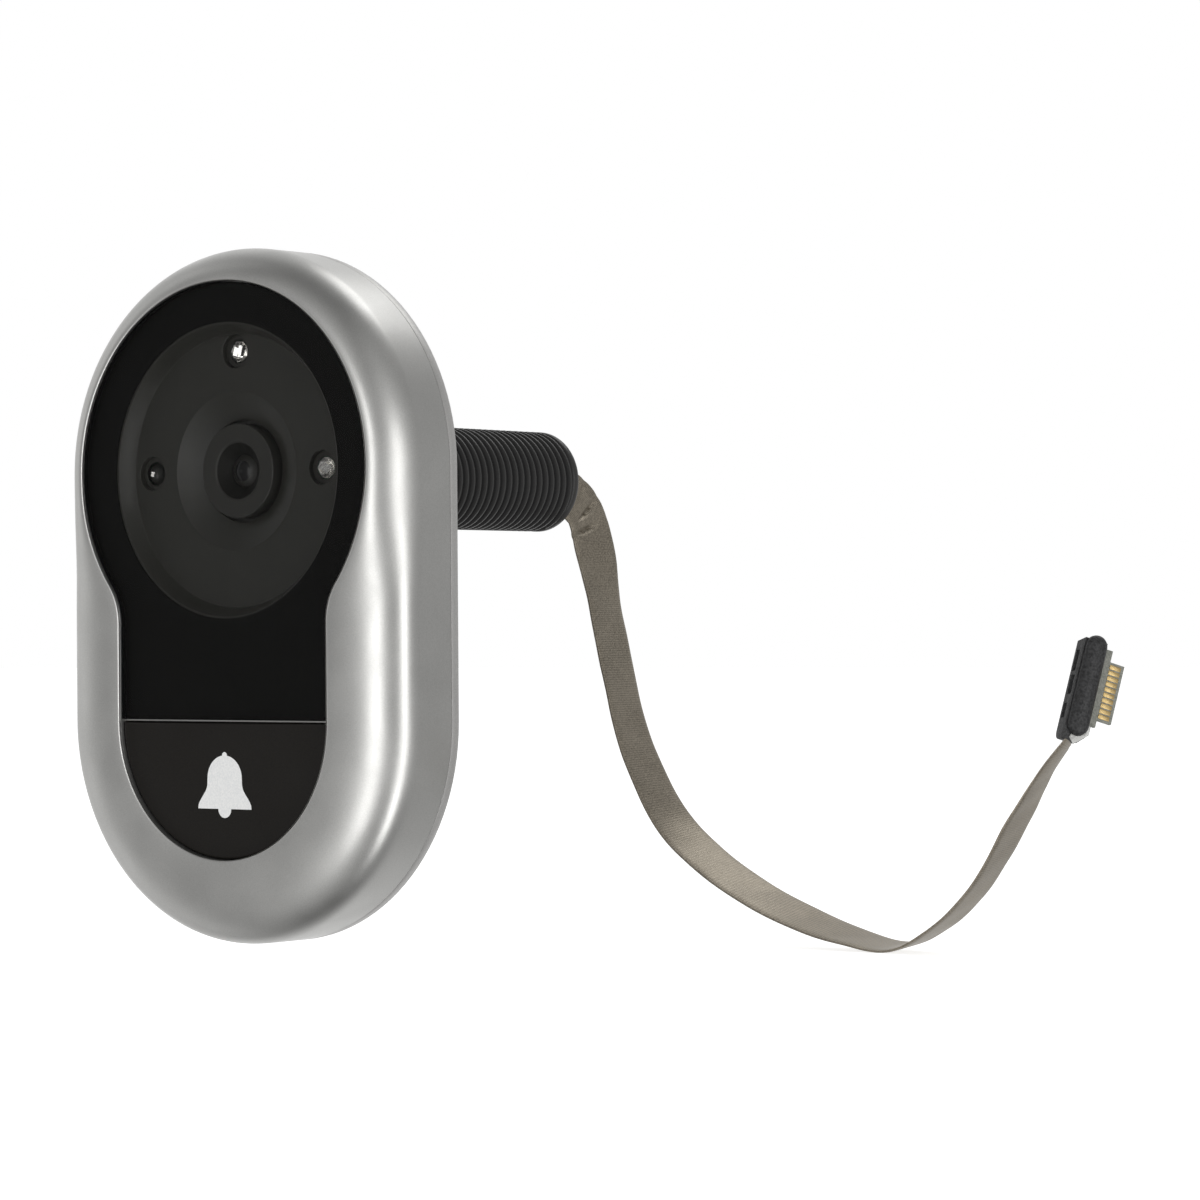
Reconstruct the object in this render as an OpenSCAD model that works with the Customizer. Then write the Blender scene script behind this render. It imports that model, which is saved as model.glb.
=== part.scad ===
// Outdoor unit of a peephole door camera: case with camera and bell button,
// threaded tube that passes through the door, and a ribbon cable with its plug.
// Millimetres, +Z up, the front faces -Y and the tube runs along +Y.
// The origin is on the tube's axis, at the back face of the rear cover.

/* [Case] */
// Width of the case, which is twice the radius of its round ends
body_w = 57.5; // [54:0.5:66]
// Distance between the centres of the two round ends
end_spacing = 32.25; // [29:0.25:42]
// Depth of the case from its back face to its rim
body_d = 13; // [12.6:0.1:16]
// Radius of the rounded front edge
edge_r = 5.75; // [4:0.25:6.5]
// Thickness of the side wall
wall = 2; // [1.8:0.1:2.2]
// Thickness of the ledge that carries the window
ledge_t = 1.2; // [1:0.1:1.5]
// Thickness of the rear cover
cover_t = 1.4; // [1.3:0.1:1.7]
// Open seam between the front shell and the rear cover
seam_gap = 0.1; // [0.05:0.01:0.2]
// Height of the lip on the rear cover
lip_h = 1.2; // [0.8:0.1:1.6]
// Thickness of the lip on the rear cover
lip_t = 0.7; // [0.5:0.05:0.8]
// Width of the small opening slot at the top of the case
pry_w = 4; // [3:0.5:6]
// Height of the small opening slot
pry_h = 0.8; // [0.5:0.1:1]

/* [Window panel] */
// Radius of the panel's round part
panel_r = 24.3; // [23.8:0.1:24.8]
// Width of the panel's straight part and of the button
panel_w = 35.5; // [34:0.5:37]
// Radius of the inward curves at the panel's neck
neck_r = 8; // [6:0.5:10]
// How far the window lies behind the rim
panel_recess = 0.35; // [0.2:0.05:0.5]
// Thickness of the smoked window
window_t = 0.8; // [0.6:0.1:1]
// Thickness of the black mask behind the window
mask_t = 0.1; // [0.08:0.01:0.15]
// Thickness of the tape under the mask
tape_t = 0.15; // [0.1:0.01:0.2]
// Radius of the clear disc in the mask
disc_r = 19.05; // [18.8:0.05:19.2]
// Gap all round the window and the button
panel_gap = 0.12; // [0.08:0.01:0.2]

/* [Camera] */
// Depth of the dark cup's floor behind the window's front face
cup_depth = 2.95; // [2.6:0.05:3.2]
// Wall of the dark cup and of its floor
cup_t = 0.8; // [0.6:0.1:0.9]
// Outer radius of the funnel round the lens
funnel_r = 10.3; // [9.5:0.1:11]
// Depth of the funnel
funnel_depth = 1.5; // [1.2:0.1:1.6]
// Outer radius of the lens barrel
lens_r = 6.1; // [5.8:0.1:6.4]
// Radius of the hollow in the lens barrel's face
lens_hollow_r = 3.72; // [3.4:0.02:4]
// Depth of the lens barrel's face behind the window's front face
lens_depth = 3.25; // [3:0.05:3.5]
// Radius of the lens glass
glass_r = 2.1; // [1.9:0.05:2.3]
// Side of the square lens holder
holder_w = 15; // [14.2:0.2:16]
// Gap between the lens holder and the funnel
holder_gap = 0.4; // [0.2:0.05:0.6]
// Side of the square image sensor
sensor_w = 7.6; // [7:0.1:8]
// Thickness of the image sensor
sensor_t = 0.8; // [0.6:0.1:0.9]
// Radius of the circle on which the upper lamp and the cup's posts sit
lamp_circle_r = 15.4; // [15:0.1:15.8]
// Distance of the side lamp and the light sensor from the lens's axis
lamp_side_r = 14.6; // [14.4:0.1:15.2]
// Radius of a lamp's dome
lamp_r = 1.5; // [1.3:0.05:1.6]
// Radius of the holes for the lamps
lamp_hole_r = 2.2; // [2:0.05:2.4]

/* [Main board] */
// Thickness of the main board
board_t = 1; // [0.8:0.1:1.2]
// Room between the rear cover and the main board
board_room = 2; // [1.9:0.1:2.3]
// Radius of the main board's round part
board_r = 20; // [19:0.25:20.5]
// Width of the main board's straight part
board_w = 26; // [24:0.5:28]
// Radius of the bosses that take the screws
boss_r = 2.2; // [2:0.1:2.3]

/* [Bell button] */
// How far the button's face lies behind the rim
button_recess = 0.7; // [0.5:0.05:0.9]
// Thickness of the button
button_t = 2; // [1.8:0.1:2.2]
// Travel of the button
button_travel = 0.6; // [0.4:0.05:0.7]
// Room for the springs behind the button
spring_room = 2.1; // [2:0.05:2.3]
// Thickness of the floor that guides the button
guide_floor_t = 1; // [0.8:0.1:1.1]
// Radius of the button's guide pins
guide_pin_r = 1.2; // [1:0.05:1.4]
// Running clearance of the guide pins
guide_gap = 0.08; // [0.04:0.01:0.1]
// Distance between the two guide pins
guide_spacing = 22; // [20:0.5:23]
// Wire thickness of the button springs
spring_wire = 0.4; // [0.3:0.05:0.5]
// Side of the square switch
switch_w = 6; // [5.5:0.1:6.5]
// Depth of the bell symbol's inlay
symbol_t = 0.3; // [0.2:0.05:0.4]

/* [Tube] */
// Outside diameter of the tube and its thread
tube_d = 14; // [13:0.1:15]
// Bore of the tube
tube_bore_d = 11.4; // [11.2:0.1:11.8]
// Length of the tube behind the case
tube_l = 54.5; // [45:0.5:80]
// Length of the plain shank at the tube's root
shank_l = 18; // [12:0.5:24]
// Pitch of the thread
thread_pitch = 1.35; // [1:0.05:1.5]
// Depth of the thread
thread_depth = 0.45; // [0.3:0.05:0.5]
// Radius of the flange inside the case
flange_r = 10.6; // [10.4:0.1:11.5]
// Thickness of the flange
flange_t = 1.2; // [1:0.1:1.25]

/* [Ribbon and plug] */
// Width of the ribbon cable
ribbon_w = 7.4; // [7:0.1:7.5]
// Thickness of the ribbon cable
ribbon_t = 0.5; // [0.4:0.05:0.55]
// Length of the plug's housing
plug_l = 13.6; // [13.4:0.1:15]
// Width of the plug's housing
plug_w = 3.2; // [3:0.1:3.8]
// Thickness of the plug, housing and cover together
plug_t = 3.8; // [3.6:0.1:4.4]
// Thickness of the plug's board
tongue_t = 0.6; // [0.5:0.05:0.7]
// Length of the contact tongue
tongue_l = 8; // [7.5:0.1:8.6]
// How far the contact tongue stands out of the wide board
tongue_out = 2.1; // [2:0.1:2.8]
// Number of contacts
contact_count = 10; // [8:1:11]

/* [Hidden] */
$fn = 64;

// Small clearance for pieces that seat in one another, and overrun of cuts
fit = 0.05;
over = 1;

// Radii of the case, from the outside in
body_r = body_w / 2;
cavity_r = body_r - wall;
lip_r = cavity_r - 2 * fit;
groove_r = body_r - 0.9;
groove_w = 1.9;
seal_r = body_r - 0.7;
seal_w = 0.7;
seal_h = 0.6;
screw_circle_r = cavity_r - boss_r - 0.95;

// Heights in front of the back face
window_front = body_d - panel_recess;
window_back = window_front - window_t;
mask_back = window_back - mask_t;
ledge_front = mask_back - tape_t;
ledge_back = ledge_front - ledge_t;
floor_front = window_front - cup_depth;
floor_back = floor_front - cup_t;
lens_front = window_front - lens_depth;
board_back = cover_t + board_room;
board_front = board_back + board_t;
button_front = body_d - button_recess;
button_back = button_front - button_t;
guide_front = button_back - spring_room;
guide_back = guide_front - guide_floor_t;

// Panel outline: the neck curve touches the round part and the straight side
panel_half = panel_w / 2;
neck_x = panel_half + neck_r;
neck_y = -sqrt(pow(panel_r + neck_r, 2) - pow(neck_x, 2));
window_bottom = end_spacing - 0.2;

// Dark cup and its opening in the ledge
cup_in_r = disc_r - 0.45;
cup_floor_r = lamp_circle_r + lamp_hole_r + fit;
cup_out_r = cup_in_r + cup_t - 0.1;
cup_hole_r = cup_out_r + 0.15;
cup_flange_r = cup_hole_r + 1.45;
cup_flange_t = 1;
cup_post_r = 1.75;
cup_posts = [45, 135, 270];
funnel_back = floor_front - funnel_depth - cup_t / 2;
holder_h = funnel_back - holder_gap - board_front;
lamp_places = [polar(lamp_side_r, 0), polar(lamp_circle_r, 90)];
sensor_place = polar(lamp_side_r, 180);
barrel_room = sensor_t + holder_gap;

// Board and its screws
board_tail_l = 16;
board_tail = end_spacing + board_tail_l;
top_boss_y = cup_flange_r + boss_r + 0.3;
low_boss_y = -(cup_flange_r + boss_r + 2.25);
board_points = [[0, top_boss_y], [9.5, low_boss_y], [-9.5, low_boss_y]];
board_pilot_r = 0.8;
board_screw_r = 0.75;
board_head_r = 1.8;
board_head_h = 0.9;
board_bite = 3;

// Case screws, two at each round end
case_diagonal = screw_circle_r * sin(45);
case_points = [for (sx = [-1, 1], end = [0, 1])
    [sx * case_diagonal, end == 0 ? case_diagonal : -end_spacing - case_diagonal]];
case_pilot_r = 1;
case_screw_r = 0.95;
case_head_r = 1.9;
case_head_h = 0.7;
case_screw_l = 7;

// Button, its guides and its switch
guide_half = guide_spacing / 2;
guide_drop = 6;
guide_y = -end_spacing - guide_drop;
stem_drop = 8;
stem_y = -end_spacing - stem_drop;
stem_r = 1.6;
box_wall = 1.2;
clip_t = 0.6;
clip_r = guide_pin_r + 1;
pin_end = guide_back - clip_t - 0.6;
switch_h = guide_back - board_front - 0.8;
plunger_r = 1.5;
plunger_top = guide_back - 0.1;
switch_floor_t = 0.35;
plunger_low = board_front + switch_floor_t + button_travel + fit;
spring_r = guide_pin_r + 0.7;
spring_turns = 2;
spring_rings = 12;

// Tube
tube_r = tube_d / 2;
bore_r = tube_bore_d / 2;
tube_chamfer = 0.6;
spigot_r = tube_r + 0.25;
thread_run = tube_l - shank_l - 1.2;
thread_count = floor(thread_run / thread_pitch);
flange_screw_angles = [30, 150, 270];
flange_pilot_r = 0.7;
flange_screw_r = 0.65;
flange_head_r = 1.3;
flange_head_h = 0.6;
flange_screw_circle_r = spigot_r + flange_head_r + 0.4;

// Ribbon inside the case and the tube
ribbon_x = 2;
ribbon_y = -1.2;
ribbon_level = (board_back + cover_t + flange_t) / 2;
ribbon_bend_r = 1;
ribbon_exit = tube_l - 1.5;
socket_x = -(flange_r + 4);
socket_l = 6;
socket_w = ribbon_w + 2.1;
socket_h = board_room - 0.7;
ribbon_in_socket = 1.5;

// Route of the free ribbon in the standing frame, along Y from the tube's end. Its width
// direction at each point leans towards +Z and +X, and its width gathers at the plug
route_points = [
    [ribbon_x, -1.5, ribbon_y], [2.3, 1, -1.3], [2.9, 3.5, -2.2], [3.7, 5.3, -4.5], [4.6, 5.8, -8],
    [5.8, 5.6, -12.5], [6.8, 5.5, -17], [8.2, 5.5, -23], [9.8, 5.5, -29.5], [11.6, 5.5, -35.5],
    [14.4, 5.5, -41.5], [18.4, 5.5, -47.5], [24.2, 5.5, -52.5], [32, 5.5, -57], [41, 5.5, -60.6],
    [49, 5.5, -62.8], [56, 5.5, -63.6], [62, 5.5, -61], [66.9, 5.5, -57], [70.9, 5.5, -52.1],
    [74.2, 5.5, -46.8], [76.9, 5.5, -42.6], [79.1, 5.8, -39.2], [81.5, 6.5, -35.9]
];
route = [for (p = route_points) [p[0], p[1] + tube_l, p[2]]];
lean_z = [1, 0.95, 0.8, 0.75, 0.75, 0.45, 0, 0, 0, 0.1, 0.2, 0.3, 0.3, 0.3, 0.25,
    0.15, 0.1, 0.1, 0.15, 0.2, 0.2, 0.1, -0.1, -0.28];
lean_x = concat([for (i = [0:20]) 0], [-0.1, -0.25, -0.4]);
gather = concat([for (i = [0:20]) 1], [0.9, 0.6, 0.36]);
rings_per_step = 3;

// Plug: the end of the route meets its lower face at ribbon_seat
plug_foot = route[len(route) - 1];
plug_turn = [-17.7, -5.6, -33.3];
plug_axis = turned([cos(plug_turn[0]) * sin(plug_turn[1]), -sin(plug_turn[0]),
    cos(plug_turn[0]) * cos(plug_turn[1])], plug_turn[2]);
plug_seam = tongue_t / 2;
bar_t = 1.4;
plug_back = plug_seam + bar_t - plug_t;
plug_bend_r = 1.2;
bar_side = 0.12;
bar_foot = 0.9;
bar_l = plug_l;
bar_end_r = plug_w / 2 - bar_side;
housing_top = bar_foot + bar_l - 0.6;
plug_corner = 1.1;
ribbon_seat = [(plug_back + plug_seam) / 2 + 0.2, plug_w / 2 - 0.3, 0];
board_side = 0.6;
board_foot = 2.7;
board_top = plug_l - 0.4;
board_out = plug_w + 1;
tongue_foot = 3.7;
contact_l = 1.65;
contact_tip = 0.45;
contact_t = 0.06;
contact_margin = 0.25;
contact_pitch = (tongue_l - 2 * contact_margin) / contact_count;
contact_w = 0.8 * contact_pitch;
film_t = 0.12;
film_edge = plug_w + 0.3;
film_top = board_foot - 0.15;
film_points = [[0.85, 0.45], [1.6, -0.3], [film_edge, 1.4], [film_edge, film_top], [plug_w / 2, film_top]];

// Bell symbol: half-width at depths below its top, down to the skirt
bell_top_y = -end_spacing - 3.9;
bell_dome_r = 2.95;
bell_dome_depth = 3.38;
bell_side = [[2.95, 3.38], [2.98, 4.2], [3.08, 4.6], [3.26, 5], [3.55, 5.4], [3.96, 5.9],
    [4.32, 6.4], [4.52, 6.82], [4.57, 7.3]];
bell_knob_r = 0.42;
bell_clapper_r = 1.1;
bell_clapper_depth = 7.35;

// Stands a piece up: modelled lying on its back, height is the way forward
module stand() {
    rotate([90, 0, 0])
        children();
}

// Plate of a flat outline between two heights
module slab(low, high) {
    translate([0, 0, low])
        linear_extrude(high - low)
            children();
}

// Outline of the case at a given end radius
module stadium(r) {
    circle(r);
    translate([-r, -end_spacing])
        square([2 * r, end_spacing]);
    translate([0, -end_spacing])
        circle(r);
}

// Ring between two case outlines
module stadium_ring(outer, width) {
    difference() {
        stadium(outer);
        stadium(outer - width);
    }
}

// Half of the case's section: straight side, rounded front edge
module edge_section(r, low, high, round_r) {
    translate([0, low])
        square([r - round_r, high - low]);
    translate([0, low])
        square([r, high - round_r - low]);
    translate([r - round_r, high - round_r])
        circle(round_r);
}

// Case outline raised to a height, with its front edge rounded
module rounded_case(r, low, high, round_r) {
    rotate_extrude(angle = 180)
        edge_section(r, low, high, round_r);
    translate([0, -end_spacing, 0])
        rotate([0, 0, 180])
            rotate_extrude(angle = 180)
                edge_section(r, low, high, round_r);
    rotate([90, 0, 0])
        linear_extrude(end_spacing)
            union() {
                edge_section(r, low, high, round_r);
                mirror([1, 0])
                    edge_section(r, low, high, round_r);
            }
}

// Keyhole outline of the window panel, drawn in by a gap
module keyhole(gap, bottom) {
    half = panel_half - gap;
    circle(panel_r - gap);
    translate([-half, -bottom])
        square([2 * half, bottom]);
    difference() {
        polygon([[0, 0], [-neck_x, neck_y], [neck_x, neck_y]]);
        for (side = [-1, 1])
            translate([side * neck_x, neck_y])
                circle(neck_r + gap);
    }
}

// Half disc below the panel, drawn in by a gap
module half_disc(r, top) {
    translate([0, -end_spacing])
        intersection() {
            circle(r);
            translate([-r, -r])
                square([2 * r, r + top]);
        }
}

// Round holes or pegs at a list of points
module pegs(points, r, low, high) {
    for (p = points)
        translate([p[0], p[1], low])
            cylinder(r = r, h = high - low);
}

// Point on a circle
function polar(r, angle) = [r * cos(angle), r * sin(angle)];

// Screw: head at the bottom with a cross recess, plain shank
module screw(head_r, head_h, shank_r, length) {
    recess_w = head_r * 0.28;
    difference() {
        union() {
            cylinder(r = head_r, h = head_h);
            cylinder(r = shank_r, h = head_h + length);
        }
        for (turn = [0, 90])
            rotate([0, 0, turn])
                translate([-head_r * 0.6, -recess_w / 2, -over])
                    cube([head_r * 1.2, recess_w, over + head_h * 0.5]);
    }
}

// Outline of the bell symbol
module bell_outline() {
    translate([0, bell_top_y]) {
        translate([0, -bell_knob_r])
            circle(bell_knob_r);
        translate([0, -bell_dome_depth])
            circle(bell_dome_r);
        polygon(concat(
            [for (p = bell_side) [-p[0], -p[1]]],
            [for (i = [len(bell_side) - 1:-1:0]) [bell_side[i][0], -bell_side[i][1]]]
        ));
        translate([0, -bell_clapper_depth])
            circle(bell_clapper_r);
    }
}

// Vector helpers for the swept pieces
function unit(v) = v / norm(v);
function turned(v, angle) =
    [v[0] * cos(angle) - v[1] * sin(angle), v[0] * sin(angle) + v[1] * cos(angle), v[2]];
function spline(a, b, c, d, t) =
    0.5 * (2 * b + (c - a) * t + (2 * a - 5 * b + 4 * c - d) * t * t
        + (3 * b - a - 3 * c + d) * t * t * t);
function knot(list, i) = list[max(0, min(len(list) - 1, i))];
function smooth_list(list, steps) = concat(
    [for (i = [0:len(list) - 2], k = [0:steps - 1])
        spline(knot(list, i - 1), list[i], list[i + 1], knot(list, i + 2), k / steps)],
    [list[len(list) - 1]]
);
function headings(pts, first, last) = [for (i = [0:len(pts) - 1])
    i == 0 ? first : i == len(pts) - 1 ? last : unit(pts[i + 1] - pts[i - 1])];

// Skin over rings of points, all with the same number of sides, closed at both ends
module skin(rings) {
    sides = len(rings[0]);
    last = (len(rings) - 1) * sides;
    walls = [for (i = [0:len(rings) - 2], k = [0:sides - 1])
        let (a = i * sides + k, b = i * sides + (k + 1) % sides)
            each [[a, b, b + sides], [a, b + sides, a + sides]]];
    caps = [for (k = [1:sides - 2])
        each [[0, k + 1, k], [last, last + k, last + k + 1]]];
    polyhedron(points = [for (r = rings) each r], faces = concat(walls, caps));
}

// Ring of a flat ribbon: eight sides, slim rounded edges, thicker where its width gathers
function ribbon_ring(centre, heading, ref, share) =
    let (across = unit(ref - (ref * heading) * heading),
        normal = cross(heading, across),
        w = ribbon_w / 2 * share,
        t = ribbon_t / 2 * (3 - 2 * share),
        shape = [[w, -t * 0.5], [w, t * 0.5], [w - t, t], [t - w, t],
            [-w, t * 0.5], [-w, -t * 0.5], [t - w, -t], [w - t, -t]])
    [for (s = shape) centre + s[0] * across + s[1] * normal];

// Ring of a spring's wire: six sides round its helix
function spring_ring(angle, height) =
    [for (k = [0:5])
        let (r = spring_r + spring_wire / 2 * cos(60 * k))
            [r * cos(angle), r * sin(angle), height + spring_wire / 2 * sin(60 * k)]];

// Places a piece of the plug: X its face, Y towards the contacts, Z along it
module at_plug() {
    translate(plug_foot)
        rotate(plug_turn)
            translate(-ribbon_seat)
                children();
}

module front_shell() {
    color("silver")
        stand()
            difference() {
                union() {
                    difference() {
                        rounded_case(body_r, cover_t + seam_gap, body_d, edge_r);
                        slab(-over, ledge_back)
                            stadium(cavity_r);
                    }
                    pegs(case_points, boss_r, cover_t, ledge_back);
                    pegs(board_points, boss_r, board_front, ledge_back);
                    slab(guide_back, ledge_back)
                        half_disc(panel_half + box_wall, box_wall);
                }
                slab(ledge_front, body_d + over)
                    keyhole(0, end_spacing);
                slab(ledge_back - over, body_d)
                    circle(cup_hole_r);
                slab(guide_front, body_d + over)
                    half_disc(panel_half, 0);
                pegs([[guide_half, guide_y], [-guide_half, guide_y]],
                    guide_pin_r + guide_gap, guide_back - over, guide_front + over);
                pegs([[0, stem_y]], stem_r + 0.3, guide_back - over, guide_front + over);
                pegs(case_points, case_pilot_r, cover_t - over, cover_t + case_screw_l + 0.5);
                pegs(board_points, board_pilot_r, board_front - over, ledge_back - 0.6);
                slab(cover_t, cover_t + seam_gap + seal_h)
                    stadium_ring(seal_r, seal_w);
                translate([-pry_w / 2, cavity_r + wall / 2, cover_t])
                    cube([pry_w, wall, seam_gap + pry_h]);
            }
}

module rear_cover() {
    color("lightgray")
        stand()
            difference() {
                union() {
                    slab(0, cover_t)
                        stadium(body_r);
                    slab(cover_t, cover_t + lip_h)
                        stadium_ring(lip_r, lip_t);
                }
                slab(-over, cover_t * 0.55)
                    stadium_ring(groove_r, groove_w);
                pegs([[0, 0]], spigot_r + fit, -over, cover_t + over);
                pegs(case_points, case_screw_r + 0.2, -over, cover_t + over);
                pegs(case_points, case_head_r + 0.15, -over, case_head_h + fit);
                for (angle = flange_screw_angles)
                    pegs([polar(flange_screw_circle_r, angle)], flange_screw_r + 0.1, -over, cover_t + over);
                for (angle = flange_screw_angles)
                    pegs([polar(flange_screw_circle_r, angle)], flange_head_r + 0.1, -over,
                        flange_head_h + fit);
            }
}

module rear_gasket() {
    color("dimgray")
        stand()
            slab(-0.4, cover_t * 0.55)
                stadium_ring(groove_r - fit, groove_w - 2 * fit);
}

module case_seal() {
    color("black")
        stand()
            slab(cover_t, cover_t + seam_gap + seal_h - fit)
                stadium_ring(seal_r - fit, seal_w - 2 * fit);
}

module case_screws() {
    color("gray")
        stand()
            for (p = case_points)
                translate([p[0], p[1], fit])
                    screw(case_head_r, case_head_h, case_screw_r, case_screw_l);
}

module front_window() {
    color("black", 0.5)
        stand()
            slab(window_back, window_front)
                keyhole(panel_gap, window_bottom);
}

module panel_mask() {
    color("black")
        stand()
            slab(mask_back, window_back)
                difference() {
                    keyhole(panel_gap, window_bottom);
                    circle(disc_r);
                }
}

module window_tape() {
    color("dimgray")
        stand()
            slab(ledge_front, mask_back)
                difference() {
                    keyhole(panel_gap + 0.5, window_bottom - 0.5);
                    circle(cup_hole_r);
                }
}

module light_baffle() {
    color("darkslategray")
        stand() {
            difference() {
                rotate_extrude()
                    polygon([
                        [funnel_r, floor_front], [cup_floor_r, floor_front],
                        [cup_in_r + 0.2, mask_back - fit], [cup_out_r, mask_back - fit],
                        [cup_out_r, ledge_back], [cup_flange_r, ledge_back],
                        [cup_flange_r, ledge_back - cup_flange_t],
                        [cup_out_r - 0.4, ledge_back - cup_flange_t],
                        [cup_out_r - 0.8, floor_back], [funnel_r + 0.4, floor_back],
                        [lens_r + 1.6, funnel_back], [lens_r + 0.5, funnel_back],
                        [lens_r + 0.5, floor_front - funnel_depth]
                    ]);
                pegs(concat(lamp_places, [sensor_place]), lamp_hole_r, floor_back - over, floor_front + over);
            }
            for (angle = cup_posts)
                pegs([polar(lamp_circle_r, angle)], cup_post_r, board_front, floor_front - cup_t / 2);
        }
}

module lens_barrel() {
    barrel_back = board_front + barrel_room;
    color("black")
        stand()
            rotate_extrude()
                polygon([
                    [lens_hollow_r, lens_front], [lens_r, lens_front], [lens_r, barrel_back],
                    [glass_r - 0.4, barrel_back], [glass_r - 0.4, lens_front - 2.4],
                    [glass_r + fit, lens_front - 2.4], [glass_r + fit, lens_front - 1.5],
                    [lens_hollow_r - 0.3, lens_front - 0.5]
                ]);
}

module lens_glass() {
    crown_r = 3;
    crown_drop = crown_r - sqrt(crown_r * crown_r - glass_r * glass_r);
    color("lightblue", 0.6)
        stand()
            union() {
                pegs([[0, 0]], glass_r, lens_front - 2.4, lens_front - 1.6);
                intersection() {
                    pegs([[0, 0]], glass_r, lens_front - 2, lens_front);
                    translate([0, 0, lens_front - 1.6 + crown_drop - crown_r])
                        sphere(crown_r);
                }
            }
}

module lens_holder() {
    half = holder_w / 2;
    color("black")
        stand()
            difference() {
                translate([-half, -half, board_front])
                    cube([holder_w, holder_w, holder_h]);
                pegs([[0, 0]], lens_r + fit, board_front + barrel_room - 2 * fit,
                    board_front + holder_h + over);
                translate([-sensor_w / 2 - holder_gap, -sensor_w / 2 - holder_gap, board_front - over])
                    cube([sensor_w + 2 * holder_gap, sensor_w + 2 * holder_gap, over + barrel_room + fit]);
            }
}

module image_sensor() {
    color("darkslateblue")
        stand()
            translate([-sensor_w / 2, -sensor_w / 2, board_front])
                cube([sensor_w, sensor_w, sensor_t]);
}

// Round lamp: collar on the board, straight body, domed tip
module dome_lamp(tip) {
    translate([0, 0, board_front])
        cylinder(r = lamp_r + 0.35, h = 0.8);
    translate([0, 0, board_front])
        cylinder(r = lamp_r, h = tip - lamp_r - board_front);
    translate([0, 0, tip - lamp_r])
        sphere(lamp_r);
}

module infrared_lamps() {
    color("whitesmoke", 0.7)
        stand()
            for (place = lamp_places)
                translate(place)
                    dome_lamp(floor_front + 0.3);
}

module light_sensor() {
    color("gray", 0.7)
        stand()
            translate(sensor_place)
                dome_lamp(floor_front - 0.1);
}

module main_board() {
    color("darkgreen")
        stand()
            difference() {
                slab(board_back, board_front)
                    union() {
                        circle(board_r);
                        translate([-board_w / 2, -board_tail])
                            square([board_w, board_tail]);
                        translate([-boss_r - 0.6, 0])
                            square([2 * boss_r + 1.2, top_boss_y + boss_r]);
                    }
                pegs(board_points, board_screw_r + 0.3, board_back - over, board_front + over);
            }
}

module board_screws() {
    color("gray")
        stand()
            for (p = board_points)
                translate([p[0], p[1], board_back - board_head_h])
                    screw(board_head_r, board_head_h, board_screw_r, board_t + board_bite);
}

module bell_button() {
    color("dimgray")
        stand()
            difference() {
                union() {
                    slab(button_back, button_front)
                        half_disc(panel_half - panel_gap, -panel_gap);
                    pegs([[guide_half, guide_y], [-guide_half, guide_y]], guide_pin_r, pin_end, button_back);
                    pegs([[0, stem_y]], stem_r, plunger_top + fit, button_back);
                }
                slab(button_front - symbol_t, button_front + over)
                    bell_outline();
            }
}

module bell_symbol() {
    color("white")
        stand()
            slab(button_front - symbol_t, button_front)
                bell_outline();
}

module button_springs() {
    low = guide_front + fit + spring_wire / 2;
    high = button_back - fit - spring_wire / 2;
    steps = spring_turns * spring_rings;
    color("gray")
        stand()
            for (side = [-1, 1])
                translate([side * guide_half, guide_y, 0])
                    skin([for (i = [0:steps])
                        spring_ring(360 * i / spring_rings, low + (high - low) * i / steps)]);
}

module button_clips() {
    color("gray")
        stand()
            for (side = [-1, 1])
                translate([side * guide_half, guide_y, guide_back - fit - clip_t])
                    difference() {
                        cylinder(r = clip_r, h = clip_t);
                        translate([0, 0, -over])
                            cylinder(r = guide_pin_r + fit, h = clip_t + 2 * over);
                    }
}

module switch_body() {
    half = switch_w / 2;
    color("black")
        stand()
            difference() {
                translate([-half, stem_y - half, board_front])
                    cube([switch_w, switch_w, switch_h]);
                pegs([[0, stem_y]], plunger_r + fit, plunger_low - button_travel - fit,
                    board_front + switch_h + over);
            }
}

module switch_plunger() {
    color("ivory")
        stand()
            pegs([[0, stem_y]], plunger_r, plunger_low, plunger_top);
}

// Tube turned about its axis: flange inside the case, plain shank, ring ridges
module threaded_tube() {
    root_r = tube_r - thread_depth;
    ridges = [for (i = [0:thread_count - 1])
        let (start = -shank_l - i * thread_pitch)
            each [[tube_r, start], [root_r, start - thread_pitch * 0.4],
                [root_r, start - thread_pitch * 0.5], [tube_r, start - thread_pitch * 0.9]]];
    color("black")
        stand()
            difference() {
                rotate_extrude()
                    polygon(concat(
                        [[bore_r, -tube_l], [bore_r, cover_t + flange_t], [flange_r, cover_t + flange_t],
                            [flange_r, cover_t], [spigot_r, cover_t], [spigot_r, 0], [tube_r, 0]],
                        ridges,
                        [[tube_r, -tube_l + tube_chamfer], [tube_r - tube_chamfer, -tube_l]]
                    ));
                for (angle = flange_screw_angles)
                    pegs([polar(flange_screw_circle_r, angle)], flange_pilot_r, cover_t - over,
                        cover_t + flange_t + over);
            }
}

module tube_screws() {
    color("gray")
        stand()
            for (angle = flange_screw_angles)
                translate(concat(polar(flange_screw_circle_r, angle), [fit]))
                    screw(flange_head_r, flange_head_h, flange_screw_r,
                        cover_t + flange_t - flange_head_h - 2 * fit);
}

module ribbon_socket() {
    color("ivory")
        stand()
            difference() {
                translate([socket_x - socket_l / 2, ribbon_y - socket_w / 2, board_back - socket_h])
                    cube([socket_l, socket_w, socket_h]);
                translate([socket_x + socket_l / 2 - ribbon_in_socket, ribbon_y - ribbon_w / 2 - fit,
                        ribbon_level - ribbon_t / 2 - fit])
                    cube([ribbon_in_socket + over, ribbon_w + 2 * fit, ribbon_t + 2 * fit]);
            }
}

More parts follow.
